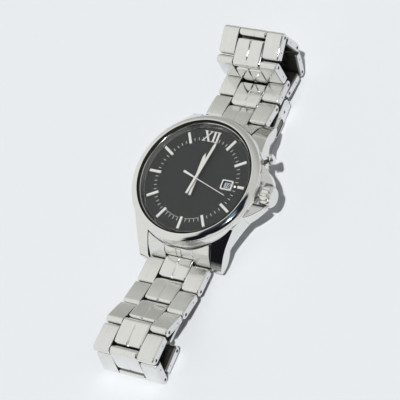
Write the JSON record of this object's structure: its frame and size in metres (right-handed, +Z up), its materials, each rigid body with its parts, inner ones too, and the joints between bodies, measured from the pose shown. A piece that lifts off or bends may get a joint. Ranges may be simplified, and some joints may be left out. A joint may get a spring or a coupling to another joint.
{
  "type": "wristwatch",
  "caption": "Analogue wristwatch with a round steel case, dark dial, crown, pusher and a three-row link bracelet lying with its fold-over clasp open.",
  "frame": {"origin": "middle of the footprint, on the table the watch lies on", "axes": "+Z up, +Y from 6 o'clock to 12 o'clock along the bracelet, +X towards the crown"},
  "size_m": [0.0472, 0.1156, 0.023],
  "materials": {
    "brushed_steel": "satin brushed",
    "polished_steel": "mirror polished",
    "hand_steel": "polished",
    "crystal": "clear",
    "rubber_seal": "matte",
    "black_ring": "satin",
    "holder_plastic": "matte",
    "dial_face": "satin lacquer",
    "date_print": "satin",
    "movement_brass": "satin"
  },
  "bodies": {
    "case": {"case_middle": "brushed_steel", "bezel": "polished_steel", "crystal": "crystal", "crystal_gasket": "rubber_seal", "rehaut_ring": "black_ring", "case_back": "polished_steel", "case_back_gasket": "rubber_seal", "dial": "dial_face", "movement_plate": "movement_brass", "movement_holder": "holder_plastic", "power_cell": "polished_steel", "drive_coil": "movement_brass", "crown_tube": "polished_steel", "pusher_spring": "polished_steel", "end_link_12": "brushed_steel", "end_link_6": "brushed_steel", "lug_spring_bar_12": "polished_steel", "lug_spring_bar_6": "polished_steel"},
    "date_ring": {"date_ring": "date_print"},
    "hour_hand": {"hour_hand": "hand_steel"},
    "minute_hand": {"minute_hand": "hand_steel"},
    "seconds_hand": {"seconds_hand": "hand_steel"},
    "oscillating_weight": {"oscillating_weight": "brushed_steel"},
    "winding_stem": {"winding_stem": "polished_steel"},
    "crown": {"crown": "polished_steel"},
    "pusher": {"pusher": "polished_steel"},
    "link_12_1": {"link_12_1_outer": "brushed_steel", "link_12_1_centre": "polished_steel"},
    "link_12_2": {"link_12_2_outer": "brushed_steel", "link_12_2_centre": "polished_steel"},
    "link_12_3": {"link_12_3_outer": "brushed_steel", "link_12_3_centre": "polished_steel"},
    "link_12_4": {"link_12_4_outer": "brushed_steel", "link_12_4_centre": "polished_steel"},
    "link_12_5": {"link_12_5_outer": "brushed_steel", "link_12_5_centre": "polished_steel"},
    "link_12_6": {"link_12_6_outer": "brushed_steel", "link_12_6_centre": "polished_steel"},
    "link_12_7": {"link_12_7_outer": "brushed_steel", "link_12_7_centre": "polished_steel"},
    "clasp_end_piece": {"clasp_end_piece": "polished_steel"},
    "clasp_cover": {"clasp_cover": "brushed_steel", "clasp_spring_bar": "polished_steel", "clasp_hinge_pin": "polished_steel"},
    "clasp_button_right": {"clasp_button_right": "polished_steel"},
    "clasp_button_left": {"clasp_button_left": "polished_steel"},
    "link_6_1": {"link_6_1_outer": "brushed_steel", "link_6_1_centre": "polished_steel"},
    "link_6_2": {"link_6_2_outer": "brushed_steel", "link_6_2_centre": "polished_steel"},
    "link_6_3": {"link_6_3_outer": "brushed_steel", "link_6_3_centre": "polished_steel"},
    "link_6_4": {"link_6_4_outer": "brushed_steel", "link_6_4_centre": "polished_steel"},
    "link_6_5": {"link_6_5_outer": "brushed_steel", "link_6_5_centre": "polished_steel"},
    "link_6_6": {"link_6_6_outer": "brushed_steel", "link_6_6_centre": "polished_steel"},
    "clasp_inner_blade": {"clasp_inner_blade": "brushed_steel"},
    "clasp_middle_blade": {"clasp_middle_blade": "brushed_steel"}
  },
  "joints": [
    {"name": "minute_hand_turn", "type": "hinge", "parent": "case", "child": "minute_hand", "pos_m": [-0.00245, 0.00287, 0.0163], "axis": [0, 0.1271, -0.9919], "continuous": true},
    {"name": "hour_hand_turn", "type": "hinge", "parent": "case", "child": "hour_hand", "pos_m": [-0.00245, 0.00287, 0.0163], "axis": [0, 0.1271, -0.9919], "continuous": true},
    {"name": "date_ring_turn", "type": "hinge", "parent": "case", "child": "date_ring", "pos_m": [-0.00245, 0.00287, 0.0163], "axis": [0, 0.1271, -0.9919], "continuous": true},
    {"name": "seconds_hand_turn", "type": "hinge", "parent": "case", "child": "seconds_hand", "pos_m": [-0.00245, 0.00287, 0.0163], "axis": [0, 0.1271, -0.9919], "continuous": true},
    {"name": "oscillating_weight_turn", "type": "hinge", "parent": "case", "child": "oscillating_weight", "pos_m": [-0.00245, 0.00287, 0.0163], "axis": [0, 0.1271, -0.9919], "continuous": true},
    {"name": "crown_pull", "type": "slide", "parent": "case", "child": "winding_stem", "axis": [1, 0, 0], "range_m": [0, 0.0012]},
    {"name": "crown_turn", "type": "hinge", "parent": "winding_stem", "child": "crown", "pos_m": [0.01955, 0.00325, 0.01332], "axis": [1, 0, 0], "continuous": true},
    {"name": "pusher_press", "type": "slide", "parent": "case", "child": "pusher", "axis": [-0.866, -0.4959, -0.0635], "range_m": [0, 0.0008], "stiffness_N_per_m": 900, "springref_m": -0.001, "deforming": ["pusher_spring"]},
    {"name": "hinge_12_1", "type": "hinge", "parent": "case", "child": "link_12_1", "pos_m": [-0.00245, 0.02634, 0.01013], "axis": [1, 0, 0], "range_deg": [0, 8]},
    {"name": "hinge_12_2", "type": "hinge", "parent": "link_12_1", "child": "link_12_2", "pos_m": [-0.00245, 0.0356, 0.0085], "axis": [1, 0, 0], "range_deg": [0, 8]},
    {"name": "hinge_12_3", "type": "hinge", "parent": "link_12_2", "child": "link_12_3", "pos_m": [-0.00245, 0.045, 0.00834], "axis": [1, 0, 0], "range_deg": [0, 6]},
    {"name": "hinge_12_4", "type": "hinge", "parent": "link_12_3", "child": "link_12_4", "pos_m": [-0.00245, 0.04492, 0.01774], "axis": [1, 0, 0], "range_deg": [0, 67]},
    {"name": "hinge_12_5", "type": "hinge", "parent": "link_12_4", "child": "link_12_5", "pos_m": [-0.00245, 0.05354, 0.02148], "axis": [1, 0, 0], "range_deg": [0, 96]},
    {"name": "hinge_12_6", "type": "hinge", "parent": "link_12_5", "child": "link_12_6", "pos_m": [-0.00245, 0.05629, 0.01249], "axis": [1, 0, 0], "range_deg": [0, 35]},
    {"name": "hinge_12_7", "type": "hinge", "parent": "link_12_6", "child": "link_12_7", "pos_m": [-0.00245, 0.05338, 0.00356], "axis": [1, 0, 0], "range_deg": [0, 81]},
    {"name": "hinge_12_clasp", "type": "hinge", "parent": "link_12_7", "child": "clasp_end_piece", "pos_m": [-0.00245, 0.0441, 0.00503], "axis": [1, 0, 0], "range_deg": [0, 20]},
    {"name": "cover_swing", "type": "hinge", "parent": "clasp_end_piece", "child": "clasp_cover", "pos_m": [-0.00245, 0.03827, 0.0031], "axis": [1, 0, 0], "range_deg": [0, 14]},
    {"name": "button_right_press", "type": "slide", "parent": "clasp_cover", "child": "clasp_button_right", "axis": [-1, 0, 0], "range_m": [0, 0.0006], "stiffness_N_per_m": 800, "springref_m": -0.001},
    {"name": "button_left_press", "type": "slide", "parent": "clasp_cover", "child": "clasp_button_left", "axis": [1, 0, 0], "range_m": [0, 0.0006], "stiffness_N_per_m": 800, "springref_m": -0.001},
    {"name": "hinge_6_1", "type": "hinge", "parent": "case", "child": "link_6_1", "pos_m": [-0.00245, -0.01829, 0.00441], "axis": [-1, 0, 0], "range_deg": [0, 8]},
    {"name": "hinge_6_2", "type": "hinge", "parent": "link_6_1", "child": "link_6_2", "pos_m": [-0.00245, -0.02769, 0.00458], "axis": [-1, 0, 0], "range_deg": [0, 8]},
    {"name": "hinge_6_3", "type": "hinge", "parent": "link_6_2", "child": "link_6_3", "pos_m": [-0.00245, -0.03681, 0.00685], "axis": [-1, 0, 0], "range_deg": [0, 8]},
    {"name": "hinge_6_4", "type": "hinge", "parent": "link_6_3", "child": "link_6_4", "pos_m": [-0.00245, -0.04522, 0.01105], "axis": [-1, 0, 0], "range_deg": [0, 26]},
    {"name": "hinge_6_5", "type": "hinge", "parent": "link_6_4", "child": "link_6_5", "pos_m": [-0.00245, -0.05462, 0.01105], "axis": [-1, 0, 0], "range_deg": [0, 80]},
    {"name": "hinge_6_6", "type": "hinge", "parent": "link_6_5", "child": "link_6_6", "pos_m": [-0.00245, -0.05626, 0.00179], "axis": [-1, 0, 0], "range_deg": [0, 100]},
    {"name": "inner_blade_swing", "type": "hinge", "parent": "link_6_6", "child": "clasp_inner_blade", "pos_m": [-0.00245, -0.04687, 0.00236], "axis": [-1, 0, 0], "range_deg": [0, 60]},
    {"name": "blade_fold", "type": "hinge", "parent": "clasp_inner_blade", "child": "clasp_middle_blade", "pos_m": [-0.00245, -0.02013, 0.00145], "axis": [-1, 0, 0], "range_deg": [0, 150]}
  ],
  "couplings": [
    {"joint": "hour_hand_turn", "follows": "minute_hand_turn", "ratio": 0.083333},
    {"joint": "date_ring_turn", "follows": "minute_hand_turn", "ratio": 0.0013441}
  ]
}
